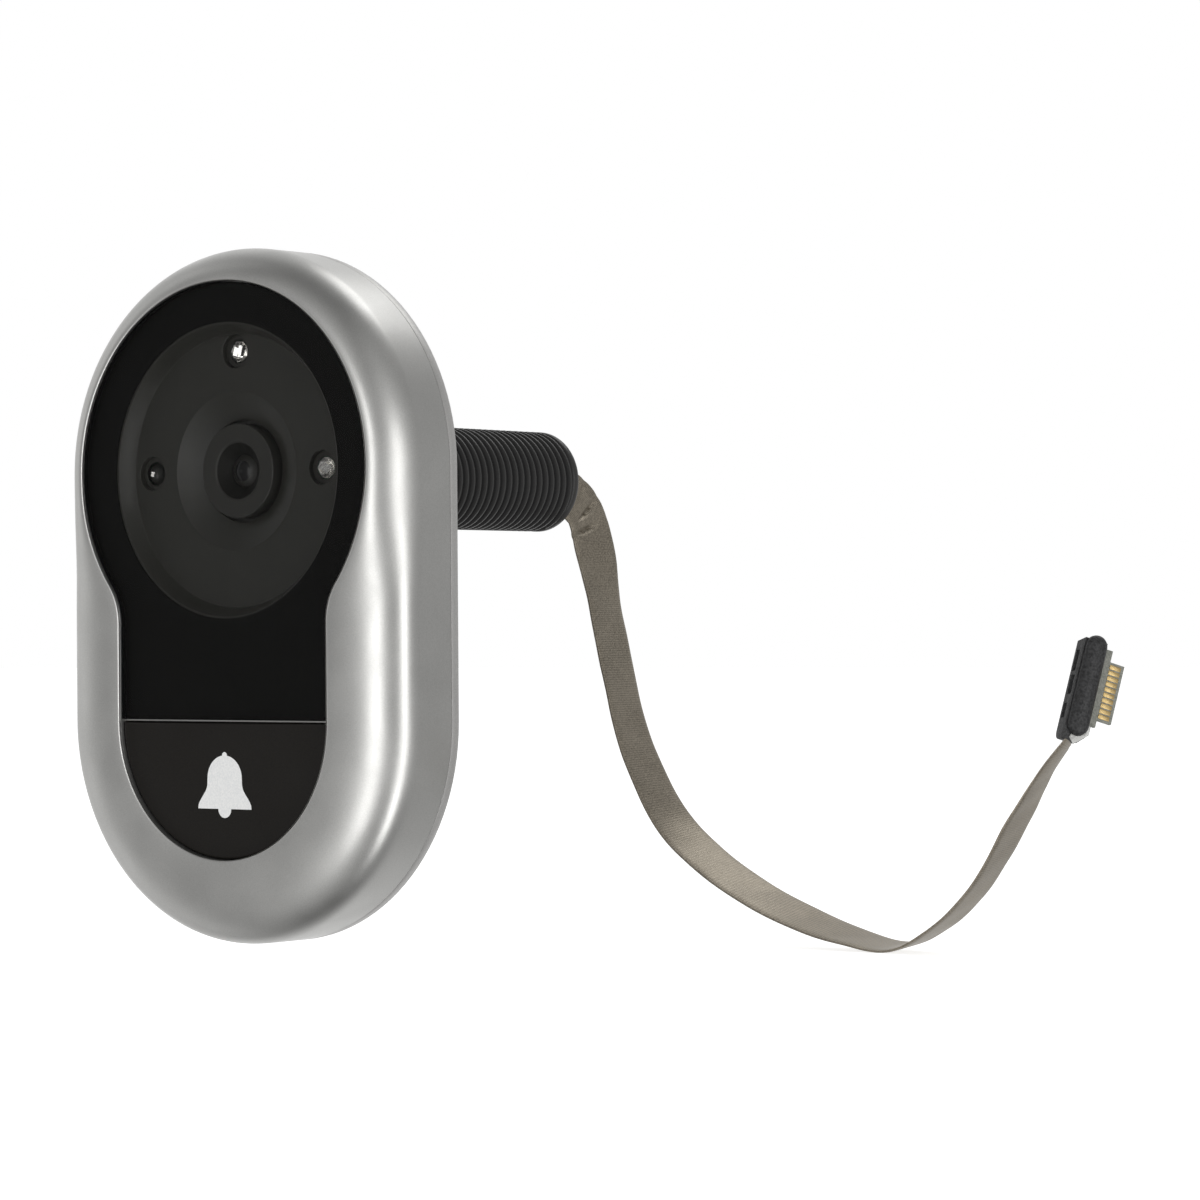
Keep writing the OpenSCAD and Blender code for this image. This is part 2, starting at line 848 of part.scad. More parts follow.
// Ribbon inside the case: flat behind the board, round one bend, along the tube
module ribbon_inner() {
    start = socket_x + socket_l / 2 - ribbon_in_socket + fit;
    turn_x = ribbon_x - ribbon_bend_r;
    turn_h = ribbon_level - ribbon_bend_r;
    t = ribbon_t / 2;
    color("tan")
        stand()
            translate([0, ribbon_y + ribbon_w / 2, 0])
                rotate([90, 0, 0])
                    linear_extrude(ribbon_w)
                        union() {
                            translate([start, ribbon_level - t])
                                square([turn_x - start, ribbon_t]);
                            translate([turn_x, turn_h])
                                intersection() {
                                    difference() {
                                        circle(ribbon_bend_r + t);
                                        circle(ribbon_bend_r - t);
                                    }
                                    square(ribbon_bend_r + over);
                                }
                            translate([ribbon_x - t, -ribbon_exit])
                                square([ribbon_t, turn_h + ribbon_exit]);
                        }
}

module ribbon_free() {
    centres = smooth_list(route, rings_per_step);
    leans_z = smooth_list(lean_z, rings_per_step);
    leans_x = smooth_list(lean_x, rings_per_step);
    shares = smooth_list(gather, rings_per_step);
    dirs = headings(centres, [0, 1, 0], plug_axis);
    color("tan")
        skin([for (i = [0:len(centres) - 1])
            ribbon_ring(centres[i], dirs[i], [leans_x[i], 1, leans_z[i]], shares[i])]);
}

// Housing: block behind the board, its lower back edge rounded, its top rising to the cover's
// end and the lower corner on the contacts' side cut off, hollowed for the board
module plug_housing() {
    color("black")
        at_plug()
            difference() {
                translate([0, plug_w, 0])
                    rotate([90, 0, 0])
                        linear_extrude(plug_w)
                            union() {
                                polygon([
                                    [plug_back + plug_bend_r, 0], [plug_seam, 0], [plug_seam, housing_top],
                                    [plug_back, plug_l], [plug_back, plug_bend_r],
                                    [plug_back + plug_bend_r, plug_bend_r]
                                ]);
                                translate([plug_back + plug_bend_r, plug_bend_r])
                                    circle(plug_bend_r);
                            }
                translate([-plug_seam - fit, board_side - fit, board_foot - fit])
                    cube([tongue_t + fit + over, plug_w, board_top - board_foot + 2 * fit]);
                translate([plug_back - over, 0, 0])
                    rotate([90, 0, 90])
                        linear_extrude(plug_t + 2 * over)
                            polygon([
                                [plug_w - plug_corner - over, -over], [plug_w + over, plug_corner + over],
                                [plug_w + over, -over]
                            ]);
            }
}

// Cover: crowned bar with round ends that closes the housing
module plug_cover() {
    color("black")
        at_plug()
            translate([plug_seam, plug_w / 2, bar_foot])
                rotate([90, 0, 90])
                    hull() {
                        for (z = [bar_end_r, bar_l - bar_end_r])
                            translate([0, z, 0])
                                cylinder(r = bar_end_r, h = bar_t * 0.45, $fn = 32);
                        for (z = [bar_end_r, bar_l - bar_end_r])
                            translate([0, z, 0])
                                cylinder(r = bar_end_r * 0.8, h = bar_t * 0.85, $fn = 32);
                        for (z = [bar_end_r, bar_l - bar_end_r])
                            translate([0, z, 0])
                                cylinder(r = bar_end_r * 0.45, h = bar_t, $fn = 32);
                    }
}

module plug_board() {
    color("darkseagreen")
        at_plug()
            union() {
                translate([-plug_seam, board_side, board_foot])
                    cube([tongue_t, board_out - board_side, board_top - board_foot]);
                translate([-plug_seam, board_side, tongue_foot])
                    cube([tongue_t, board_out - board_side + tongue_out, tongue_l]);
            }
}

module plug_contacts() {
    color("gold")
        at_plug()
            for (i = [0:contact_count - 1])
                translate([plug_seam, board_out + tongue_out - contact_tip - contact_l,
                        tongue_foot + contact_margin + (i + 0.5) * contact_pitch - contact_w / 2])
                    cube([contact_t, contact_l, contact_w]);
}

// Bit of clear film on the housing's face, round the cover's lower end and hanging past the
// housing's lower corner
module plug_film() {
    color("white", 0.4)
        at_plug()
            translate([plug_seam, 0, 0])
                rotate([90, 0, 90])
                    linear_extrude(film_t)
                        difference() {
                            polygon(film_points);
                            translate([plug_w / 2, bar_foot + bar_end_r])
                                circle(bar_end_r + fit);
                        }
}

front_shell();
rear_cover();
rear_gasket();
case_seal();
case_screws();
front_window();
panel_mask();
window_tape();
light_baffle();
lens_barrel();
lens_glass();
lens_holder();
image_sensor();
infrared_lamps();
light_sensor();
main_board();
board_screws();
bell_button();
bell_symbol();
button_springs();
button_clips();
switch_body();
switch_plunger();
threaded_tube();
tube_screws();
ribbon_socket();
ribbon_inner();
ribbon_free();
plug_housing();
plug_cover();
plug_board();
plug_contacts();
plug_film();
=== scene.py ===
import bmesh
import bpy
import math
from mathutils import Matrix, Vector


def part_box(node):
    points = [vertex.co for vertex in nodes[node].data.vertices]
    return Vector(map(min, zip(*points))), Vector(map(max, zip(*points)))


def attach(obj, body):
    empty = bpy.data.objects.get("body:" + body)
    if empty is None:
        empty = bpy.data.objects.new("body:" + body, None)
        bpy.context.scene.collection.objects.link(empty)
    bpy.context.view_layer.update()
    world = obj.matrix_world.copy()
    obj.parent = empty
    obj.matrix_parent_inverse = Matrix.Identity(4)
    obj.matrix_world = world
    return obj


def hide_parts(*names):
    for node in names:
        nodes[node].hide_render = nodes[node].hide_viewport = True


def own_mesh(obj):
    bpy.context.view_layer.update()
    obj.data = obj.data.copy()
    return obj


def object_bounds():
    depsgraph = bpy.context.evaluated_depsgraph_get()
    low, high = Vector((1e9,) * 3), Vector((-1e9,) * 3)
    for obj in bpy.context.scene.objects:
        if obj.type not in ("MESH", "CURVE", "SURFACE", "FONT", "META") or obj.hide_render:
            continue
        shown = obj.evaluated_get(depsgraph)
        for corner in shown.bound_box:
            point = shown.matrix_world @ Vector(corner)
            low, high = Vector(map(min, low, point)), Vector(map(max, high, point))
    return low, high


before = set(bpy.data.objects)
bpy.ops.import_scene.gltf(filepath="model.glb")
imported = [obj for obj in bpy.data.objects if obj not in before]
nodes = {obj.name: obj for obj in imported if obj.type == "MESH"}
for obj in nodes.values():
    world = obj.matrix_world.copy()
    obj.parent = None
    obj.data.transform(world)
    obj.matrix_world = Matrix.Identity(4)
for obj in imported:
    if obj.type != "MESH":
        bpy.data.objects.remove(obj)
cad_low, cad_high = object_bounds()
MM = 0.001
scene = bpy.context.scene
scene.view_settings.view_transform = "Standard"


# Camera, at the photograph's angle

def place_camera():
    yaw, pitch, roll = math.radians(36.939), math.radians(-0.349), math.radians(-0.42)
    eye = Vector((359.92, -410.637, -20.265)) * MM
    sensor_mm, focal_px, picture_px = 36, 4170.14, 1200
    forward = Vector((-math.sin(yaw) * math.cos(pitch), math.cos(yaw) * math.cos(pitch), -math.sin(pitch)))
    level_right = Vector((math.cos(yaw), math.sin(yaw), 0))
    level_up = level_right.cross(forward)
    right = math.cos(roll) * level_right + math.sin(roll) * level_up
    up = -math.sin(roll) * level_right + math.cos(roll) * level_up
    camera = bpy.data.objects.new("camera", bpy.data.cameras.new("camera"))
    camera.data.sensor_width = sensor_mm
    camera.data.lens = sensor_mm * focal_px / picture_px
    camera.data.clip_start, camera.data.clip_end = 0.01, 20
    turned = Matrix((right, up, -forward)).transposed().to_4x4()
    camera.matrix_world = Matrix.Translation(eye) @ turned
    scene.collection.objects.link(camera)
    scene.camera = camera


place_camera()


# Nodes of the finishes and of the studio

def add_node(owner, kind, **values):
    """New node of a material or of the world, with the inputs and settings that are given."""
    node = owner.node_tree.nodes.new(kind)
    for key, value in values.items():
        if key in node.inputs:
            node.inputs[key].default_value = value
        else:
            setattr(node, key, value)
    return node


def join(owner, source, target):
    owner.node_tree.links.new(source, target)


def maths(owner, operation, *terms):
    """A sum of nodes. Each term is a number or the output of another node."""
    node = add_node(owner, "ShaderNodeMath", operation=operation)
    for socket, term in zip(node.inputs, terms):
        if isinstance(term, (int, float)):
            socket.default_value = term
        else:
            join(owner, term, socket)
    return node.outputs[0]


def spread(owner, factor, start, end, low, high):
    """Maps a factor that runs from start to end onto low to high."""
    limits = {"From Min": start, "From Max": end, "To Min": low, "To Max": high}
    node = add_node(owner, "ShaderNodeMapRange", **limits)
    join(owner, factor, node.inputs["Value"])
    return node.outputs["Result"]


# Finishes

def shader_of(material):
    return material.node_tree.nodes["Principled BSDF"]


def blank_finish(name, colour, roughness, metallic=0.0, **sockets):
    material = bpy.data.materials.new(name)
    material.use_nodes = True
    shader = shader_of(material)
    shader.inputs["Base Color"].default_value = (*colour, 1)
    shader.inputs["Roughness"].default_value = roughness
    shader.inputs["Metallic"].default_value = metallic
    for socket, value in sockets.items():
        shader.inputs[socket.replace("_", " ")].default_value = value
    return material


def surface_point(material, stretch=(1, 1, 1)):
    place = add_node(material, "ShaderNodeTexCoord")
    mapping = add_node(material, "ShaderNodeMapping", Scale=stretch)
    join(material, place.outputs["Object"], mapping.inputs["Vector"])
    return mapping.outputs["Vector"]


def speckle(material, point, size, detail=3.0, roughness=0.55):
    noise = add_node(material, "ShaderNodeTexNoise", Scale=1 / size, Detail=detail, Roughness=roughness)
    join(material, point, noise.inputs["Vector"])
    return noise.outputs["Fac"]


def tint(material, factor, low, high, start=0.35, end=0.65):
    ramp = add_node(material, "ShaderNodeValToRGB")
    for stop, place, colour in zip(ramp.color_ramp.elements, (start, end), (low, high)):
        stop.position = place
        stop.color = (*colour, 1)
    join(material, factor, ramp.inputs["Fac"])
    join(material, ramp.outputs["Color"], shader_of(material).inputs["Base Color"])


def vary_roughness(material, factor, low, high):
    noise_low, noise_high = 0.3, 0.7
    varied = spread(material, factor, noise_low, noise_high, low, high)
    join(material, varied, shader_of(material).inputs["Roughness"])


def emboss(material, height, depth, strength=1.0):
    bump = add_node(material, "ShaderNodeBump", Strength=strength, Distance=depth)
    join(material, height, bump.inputs["Height"])
    join(material, bump.outputs["Normal"], shader_of(material).inputs["Normal"])


def moulded(name, dark, light, roughness, grain, depth, metallic=0.0, **sockets):
    """Moulded or painted finish: fine grain, a little variation in colour and gloss."""
    drift, glossier, duller = 60, 0.9, 1.12
    material = blank_finish(name, light, roughness, metallic, **sockets)
    point = surface_point(material)
    fine = speckle(material, point, grain)
    broad = speckle(material, point, grain * drift, 2.0)
    tint(material, fine, dark, light)
    vary_roughness(material, broad, roughness * glossier, min(1.0, roughness * duller))
    emboss(material, fine, depth)
    return material


def glassy(name, colour, grain, low, high, **sockets):
    """Clear epoxy or glass: very smooth, with a slight drift in gloss."""
    material = blank_finish(name, colour, 0.03, **sockets)
    vary_roughness(material, speckle(material, surface_point(material), grain), low, high)
    return material


# Each moulded finish: darker and lighter colour, roughness, size and depth of the grain, and how metallic it is
silver_lacquer = moulded("silver_lacquer", (0.42, 0.418, 0.405), (0.49, 0.488, 0.475), 0.37, 0.12 * MM, 0.004 * MM,
                         0.95)
cover_grey = moulded("cover_grey", (0.42, 0.415, 0.405), (0.5, 0.495, 0.485), 0.42, 0.15 * MM, 0.006 * MM, 0.8)
gasket_foam = moulded("gasket_foam", (0.012, 0.012, 0.012), (0.045, 0.045, 0.045), 0.9, 0.35 * MM, 0.12 * MM)
seal_rubber = moulded("seal_rubber", (0.010, 0.010, 0.010), (0.022, 0.022, 0.022), 0.65, 0.25 * MM, 0.02 * MM)
screw_zinc = moulded("screw_zinc", (0.42, 0.43, 0.44), (0.56, 0.57, 0.58), 0.32, 0.1 * MM, 0.004 * MM, 1.0)
smoked_acrylic = moulded("smoked_acrylic", (0.003, 0.003, 0.003), (0.006, 0.006, 0.0055), 0.08, 0.4 * MM,
                         0.00002 * MM, Alpha=0.2, Specular_IOR_Level=0.2)
mask_print = moulded("mask_print", (0.002, 0.002, 0.002), (0.005, 0.005, 0.0045), 0.5, 0.2 * MM, 0.002 * MM,
                     Specular_IOR_Level=0.08)
window_adhesive = moulded("window_adhesive", (0.02, 0.02, 0.02), (0.05, 0.05, 0.05), 0.7, 0.2 * MM, 0.01 * MM)
baffle_black = moulded("baffle_black", (0.026, 0.0255, 0.0215), (0.038, 0.0375, 0.032), 0.4, 0.16 * MM, 0.005 * MM,
                       Specular_IOR_Level=0.45)
barrel_black = moulded("barrel_black", (0.024, 0.0235, 0.02), (0.036, 0.035, 0.031), 0.4, 0.1 * MM, 0.004 * MM)
# Painted shade: a black darker than the barrel's own, for the sheet that stands in for the shade deep in the lens's
# hollow.
hollow_painted_shade = moulded("hollow_painted_shade", (0.008, 0.008, 0.007), (0.016, 0.0155, 0.0135), 0.6, 0.1 * MM, 0.006 * MM,
                      Specular_IOR_Level=0.2)
chip_glass = moulded("chip_glass", (0.02, 0.02, 0.05), (0.06, 0.05, 0.10), 0.12, 0.3 * MM, 0.001 * MM)
board_green = moulded("board_green", (0.012, 0.07, 0.03), (0.03, 0.13, 0.06), 0.4, 0.5 * MM, 0.01 * MM)
button_satin = moulded("button_satin", (0.006, 0.0053, 0.0045), (0.012, 0.0105, 0.009), 0.42, 0.14 * MM, 0.006 * MM,
                       Specular_IOR_Level=0.14)
symbol_white = moulded("symbol_white", (0.72, 0.73, 0.73), (0.82, 0.82, 0.81), 0.35, 0.2 * MM, 0.003 * MM)
spring_wire = moulded("spring_wire", (0.38, 0.38, 0.39), (0.52, 0.52, 0.53), 0.25, 0.1 * MM, 0.003 * MM, 1.0)
switch_black = moulded("switch_black", (0.012, 0.012, 0.012), (0.03, 0.03, 0.03), 0.5, 0.15 * MM, 0.01 * MM)
plunger_ivory = moulded("plunger_ivory", (0.62, 0.58, 0.48), (0.72, 0.68, 0.58), 0.5, 0.15 * MM, 0.01 * MM)
plug_black = moulded("plug_black", (0.006, 0.006, 0.0063), (0.034, 0.034, 0.0355), 0.5, 0.32 * MM, 0.08 * MM,
                     Specular_IOR_Level=0.35)
plug_laminate = moulded("plug_laminate", (0.105, 0.11, 0.09), (0.2, 0.2, 0.17), 0.45, 0.3 * MM, 0.006 * MM)
contact_gold = moulded("contact_gold", (0.31, 0.22, 0.09), (0.44, 0.33, 0.16), 0.4, 0.15 * MM, 0.008 * MM, 0.85)
lamp_silver = moulded("lamp_silver", (0.75, 0.74, 0.71), (0.97, 0.96, 0.93), 0.1, 0.3 * MM, 0.03 * MM, 1.0)

lamp_epoxy = glassy("lamp_epoxy", (0.7, 0.7, 0.7), 0.5 * MM, 0.01, 0.06, IOR=1.53, Alpha=0.08)
sensor_epoxy = glassy("sensor_epoxy", (0.06, 0.06, 0.055), 0.5 * MM, 0.01, 0.06, IOR=1.53, Alpha=0.45)
clear_film = glassy("clear_film", (0.5, 0.5, 0.48), 0.5 * MM, 0.01, 0.06, IOR=1.53, Alpha=0.7)
coated_glass = glassy("coated_glass", (0.012, 0.012, 0.013), 0.6 * MM, 0.015, 0.05, IOR=1.36)

thread_root, thread_crest = 6.55, 7.0


def threaded_black():
    """Black plastic, with painted shade darker in the thread's grooves and a painted highlight paler on its crests."""
    material = blank_finish("tube_black", (0.012, 0.012, 0.012), 0.36)
    radius = add_node(material, "ShaderNodeVectorMath", operation="LENGTH")
    join(material, surface_point(material, (1, 0, 1)), radius.inputs[0])
    crest_light_groove_shade = spread(material, radius.outputs["Value"], thread_root * MM, thread_crest * MM, 0, 1)
    # Painted shade and highlight: the colour runs from darker at the thread's root to paler at its crest.
    tint(material, crest_light_groove_shade, (0.015, 0.015, 0.015), (0.029, 0.0285, 0.028), 0.25, 1.0)
    shine = spread(material, crest_light_groove_shade, 0, 1, 0.1, 0.3)
    join(material, shine, shader_of(material).inputs["Specular IOR Level"])
    fine = speckle(material, surface_point(material), 0.2 * MM)
    vary_roughness(material, fine, 0.3, 0.44)
    emboss(material, fine, 0.006 * MM)
    return material


def woven_shield():
    """Metallised cloth: warp and weft over the ribbon's own map, with glints where threads cross."""
    material = blank_finish("woven_shield", (0.3, 0.27, 0.22), 0.4, 0.85)
    place = add_node(material, "ShaderNodeUVMap", uv_map="weave")
    threads_along, threads_across, bands_per_scale = 450, 26, 3.2
    bands = []
    for direction, count in (("X", threads_along), ("Y", threads_across)):
        wave = add_node(material, "ShaderNodeTexWave", wave_type="BANDS", bands_direction=direction,
                        Scale=count / bands_per_scale, Distortion=0.4, Detail=1.0)
        join(material, place.outputs["UV"], wave.inputs["Vector"])
        bands.append(wave.outputs["Fac"])
    weave_share, cloud_share = 0.35, 0.3
    point = surface_point(material)
    glint = speckle(material, point, 0.22 * MM, 2.0, 0.7)
    cloud = speckle(material, point, 7 * MM, 2.0)
    mixed = maths(material, "MULTIPLY_ADD", maths(material, "MULTIPLY", *bands), weave_share, glint)
    shade = maths(material, "MULTIPLY_ADD", cloud, cloud_share, mixed)
    tint(material, shade, (0.135, 0.118, 0.093), (0.36, 0.32, 0.257), 0.45, 1.0)
    vary_roughness(material, glint, 0.3, 0.55)
    emboss(material, mixed, 0.035 * MM, 0.8)
    return material


tube_black = threaded_black()
shield_cloth = woven_shield()


# Making pieces

merge_gap = 0.0005 * MM
square_on, square_area, plate_area = 0.99999, 0.5 * MM * MM, 5 * MM * MM


def settle(name, bm, material, body, replaced=(), smooth_angle=32):
    """Makes a finished piece. Faces square to the front and large many-sided plates stay flat."""
    mesh = bpy.data.meshes.new(name)
    bm.to_mesh(mesh)
    bm.free()
    mesh.materials.append(material)
    mesh.shade_smooth()
    mesh.set_sharp_from_angle(angle=math.radians(smooth_angle))
    for face in mesh.polygons:
        square = abs(face.normal.y) > square_on and face.area > square_area
        plate = len(face.vertices) > 4 and face.area > plate_area
        if square or plate:
            face.use_smooth = False
    piece = bpy.data.objects.new(name, mesh)
    scene.collection.objects.link(piece)
    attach(piece, body)
    if replaced:
        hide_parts(*replaced)
    return piece


def merged_copy(node):
    """Copy of a node's mesh with its triangles joined up into whole flat faces."""
    bm = bmesh.new()
    bm.from_mesh(nodes[node].data)
    bmesh.ops.remove_doubles(bm, verts=bm.verts, dist=merge_gap)
    bmesh.ops.dissolve_limit(bm, angle_limit=math.radians(0.2), verts=bm.verts, edges=bm.edges)
    return bm


def soften(bm, width, where=None, segments=2):
    """Rounds the sharp edges, all of them or only those in one place."""
    sharp = math.radians(40)
    edges = [e for e in bm.edges if len(e.link_faces) == 2 and e.calc_face_angle() > sharp
             and (where is None or all(where(v.co) for v in e.verts))]
    bmesh.ops.bevel(bm, geom=edges, offset=width, offset_type="OFFSET", affect="EDGES", segments=segments,
                    profile=0.5, material=-1, clamp_overlap=True)


def smooth_copy(name, node, material, width, smooth_angle=32):
    """Piece of the case that is a node with its edges rounded, by a width in mm."""
    bm = merged_copy(node)
    soften(bm, width * MM)
    return settle(name, bm, material, "case", [node], smooth_angle)


def closed_outline(bm, outline):
    """Closed ring of edges, given as radius and Y in mm."""
    verts = [bm.verts.new((r * MM, y * MM, 0)) for r, y in outline]
    return verts, [bm.edges.new((a, b)) for a, b in zip(verts, verts[1:] + verts[:1])]


def turned_about_tube(bm, outline, steps=128):
    """Full turn of an outline, given as radius and Y in mm, about the tube's axis."""
    verts, edges = closed_outline(bm, outline)
    bmesh.ops.spin(bm, geom=verts + edges, cent=(0, 0, 0), axis=(0, 1, 0), angle=2 * math.pi, steps=steps,
                   use_merge=True)
    bmesh.ops.remove_doubles(bm, verts=bm.verts, dist=2 * merge_gap)
    bmesh.ops.recalc_face_normals(bm, faces=bm.faces)


# Case: its front is crowned from the recess round the window out to the side wall. Sizes are in mm, heights are
# counted from the cover's back, and the notch is the place at the top where the seam stands higher

case_r, end_gap, recess_r, recess_half = 28.75, 32.25, 24.3, 17.75
neck_start, neck_end, neck_r = -14.67, -19.5, 8
seam, notch_seam, shoulder, rim_top, edge_r = 1.5, 2.3, 7.25, 13.0, 5.75
notch_reach = 0.99756


def recess_width(z):
    """Half the recess's width at a height on the case's straight sides, with the curves at its neck."""
    if z > neck_start:
        return math.sqrt(recess_r ** 2 - z ** 2)
    if z > neck_end:
        return recess_half + neck_r - math.sqrt(neck_r ** 2 - (z - neck_end) ** 2)
    return recess_half


def rim_stations():
    """Point on the case's middle line, way outwards and width of the rim, all the way round."""
    end_steps, side_steps = 180, 64
    stations = []
    for start, centre_z, recess, side in ((0, 0, recess_r, -1), (180, -end_gap, recess_half, 1)):
        for i in range(end_steps):
            a = math.radians(start + 180 * i / end_steps)
            out = Vector((math.cos(a), 0, math.sin(a)))
            stations.append((Vector((0, 0, centre_z)), out, case_r - recess))
        for i in range(side_steps):
            down = i / side_steps if side < 0 else 1 - i / side_steps
            z = -end_gap * down
            stations.append((Vector((0, 0, z)), Vector((side, 0, 0)), case_r - recess_width(z)))
    return stations


def rim_profile(width, notched):
    """Way in from the side wall and height, from the seam over the crown to the lip of the recess."""
    lip, tuck, drop = 0.3, 0.02, 0.6
    crown_steps, lip_steps = 24, 4
    narrow_rim, least_fullness, gain = 4.45, 1.75, 0.13
    crest = rim_top if width > edge_r else shoulder + math.sqrt(edge_r ** 2 - (edge_r - width) ** 2)
    fullness = least_fullness + gain * (width - narrow_rim)
    points = [(0, notch_seam if notched else seam), (0, 2.6), (0, 4.2), (0, 5.8)]
    for i in range(crown_steps + 1):
        turn = math.radians(90 * i / crown_steps)
        inward, rise = max(math.cos(turn), 0) ** (2 / fullness), math.sin(turn) ** (2 / fullness)
        points.append(((width - lip) * (1 - inward), shoulder + (crest - shoulder) * rise))
    for i in range(1, lip_steps + 1):
        turn = math.radians(90 * i / lip_steps)
        points.append((width - lip + (lip + tuck) * math.sin(turn), crest - lip + lip * math.cos(turn)))
    points.append((width + tuck, crest - drop))
    return points


def on_outside(co):
    """Whether a point of the front shell is on its outer skin: side wall, rounded edge or flat rim."""
    slack, near = 0.01, 0.03
    x, z, height = co.x / MM, co.z / MM, -co.y / MM
    r = math.hypot(x, z - max(-end_gap, min(0, z)))
    if height < shoulder + slack:
        return abs(r - case_r) < near
    if r < case_r - edge_r:
        return height > rim_top - slack
    return abs(math.hypot(r - case_r + edge_r, height - shoulder) - edge_r) < near


def make_case_front():
    """The shell with a crowned skin in place of its plain outside."""
    bm = merged_copy("front_shell")
    plain = [f for f in bm.faces if all(on_outside(v.co) for v in f.verts)]
    bmesh.ops.delete(bm, geom=plain, context="FACES")
    stations = rim_stations()
    profiles = [rim_profile(width, out.z > notch_reach) for spine, out, width in stations]
    around, over = len(stations), len(profiles[0]) - 1
    skin = bmesh.ops.create_grid(bm, x_segments=around, y_segments=over, size=0.5)["verts"]
    for v in skin:
        i, k = round((v.co.x + 0.5) * around) % around, round((v.co.y + 0.5) * over)
        spine, out = stations[i][:2]
        inward, height = profiles[i][k]
        v.co = (spine + out * (case_r - inward) - Vector((0, height, 0))) * MM
    faces = list({f for v in skin for f in v.link_faces})
    bmesh.ops.remove_doubles(bm, verts=skin, dist=merge_gap)
    faces = [f for f in faces if f.is_valid]
    bm.normal_update()
    if max(faces, key=lambda f: f.calc_center_median().x).normal.x < 0:
        bmesh.ops.reverse_faces(bm, faces=faces)
    settle("case_front", bm, silver_lacquer, "case", ["front_shell"], 38)


def make_case_back():
    behind_seam = -1.45 * MM
    bm = merged_copy("rear_cover")
    soften(bm, 0.18 * MM, lambda co: co.y > behind_seam)
    settle("case_back", bm, cover_grey, "case", ["rear_cover"])


def make_window():
    """Smoked sheet, with its cut edge as a black piece of its own."""
    sheet_front, facing = -12.5 * MM, 0.5
    bm = merged_copy("front_window")
    soften(bm, 0.12 * MM, lambda co: co.y < sheet_front)
    bm.normal_update()
    edge = bm.copy()
    bmesh.ops.delete(edge, geom=[f for f in edge.faces if abs(f.normal.y) > facing], context="FACES")
    settle("window_edge", edge, mask_print, "case")
    bmesh.ops.delete(bm, geom=[f for f in bm.faces if abs(f.normal.y) <= facing], context="FACES")
    settle("window_sheet", bm, smoked_acrylic, "case", ["front_window"])


def make_button():
    """Button rounded at its outer rim, its symbol, and the springs, with a mesh of their own."""
    button_front, margin = -12.2 * MM, 0.1 * MM
    mark_low, mark_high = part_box("bell_symbol")

    def outer_rim(co):
        beside = mark_low.x - margin < co.x < mark_high.x + margin
        level = mark_low.z - margin < co.z < mark_high.z + margin
        return co.y < button_front and not (beside and level)

    bm = merged_copy("bell_button")
    soften(bm, 0.28 * MM, outer_rim, 4)
    settle("bell_push", bm, button_satin, "button", ["bell_button"])
    settle("bell_mark", merged_copy("bell_symbol"), symbol_white, "button", ["bell_symbol"])
    coils = settle("spring_coils", merged_copy("button_springs"), spring_wire, "case",
                   ["button_springs"])
    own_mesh(coils)


# Tube with its helical thread

tube_end = 54.5


def make_tube():
    bore, shank, half_way = 5.7, 7.0, 6.86
    flange = [(bore, -2.6), (10.6, -2.6), (10.6, -1.4), (7.25, -1.4), (7.25, 0)]
    barrel = [(shank, 0.0), (shank, 17.8), (6.85, 18.0), (thread_root, 18.3), (thread_root, 52.7)]
    rounded_end = [(half_way, 52.95), (shank, 53.1), (shank, 53.85), (6.93, 54.05), (6.5, 54.42), (6.3, tube_end),
                   (5.95, tube_end), (bore, 54.25)]
    bm = bmesh.new()
    turned_about_tube(bm, flange + barrel + rounded_end)

    thread_start, pitch, turns, steps = 18.6, 1.35, 25.2, 48
    flank = [(thread_root - 0.08, 0.56), (thread_root, 0.52), (half_way, 0.24), (thread_crest, 0.13)]
    section = [(r, thread_start - y) for r, y in flank] + [(r, thread_start + y) for r, y in reversed(flank)]
    verts, edges = closed_outline(bm, section)
    bm.faces.new(verts)
    grown = bmesh.ops.spin(bm, geom=verts + edges, cent=(0, 0, 0), axis=(0, 1, 0), dvec=(0, pitch / steps * MM, 0),
                           angle=2 * math.pi * turns, steps=round(steps * turns))
    last = [e for e in grown["geom_last"] if isinstance(e, bmesh.types.BMEdge)]
    bmesh.ops.holes_fill(bm, edges=last, sides=0)
    bmesh.ops.recalc_face_normals(bm, faces=bm.faces)
    settle("door_tube", bm, tube_black, "case", ["threaded_tube"], 45)


# Ribbon: the free run between the tube and the plug. Its route is in mm, with Y counted from the tube's end

route = [(2, -1.5, -1.2), (2.3, 1, -1.3), (2.9, 3.5, -2.2), (3.7, 5.3, -4.5), (4.6, 5.8, -8), (5.8, 5.6, -12.5),
         (6.8, 5.5, -17), (8.2, 5.5, -23), (9.8, 5.5, -29.5), (11.6, 5.5, -35.5), (14.4, 5.5, -41.5),
         (18.4, 5.5, -47.5), (24.2, 5.5, -52.5), (32, 5.5, -57), (41, 5.5, -60.6), (49, 5.5, -62.8),
         (56, 5.5, -63.6), (62, 5.5, -61), (66.9, 5.5, -57), (70.9, 5.5, -52.1), (74.2, 5.5, -46.8),
         (76.9, 5.5, -42.6), (79.1, 5.8, -39.2), (81.5, 6.5, -35.9)]
route = [Vector((x, y + tube_end, z)) * MM for x, y, z in route]
# At the same knots: how the ribbon's width leans upwards and sideways, and the share of it left at the plug
lean_z = [1, 0.95, 0.8, 0.75, 0.75, 0.45, 0, 0, 0, 0.1, 0.2, 0.3, 0.3, 0.3, 0.25, 0.15, 0.1, 0.1, 0.15, 0.2, 0.2,
          0.1, -0.1, -0.28]
lean_x = [0] * 21 + [-0.1, -0.25, -0.4]
gather = [1] * 21 + [0.92, 0.75, 0.54]
plug_turn = (Matrix.Rotation(math.radians(-33.3), 4, "Z") @ Matrix.Rotation(math.radians(-5.6), 4, "Y")
             @ Matrix.Rotation(math.radians(-17.7), 4, "X"))
plug_axis = plug_turn @ Vector((0, 0, 1))


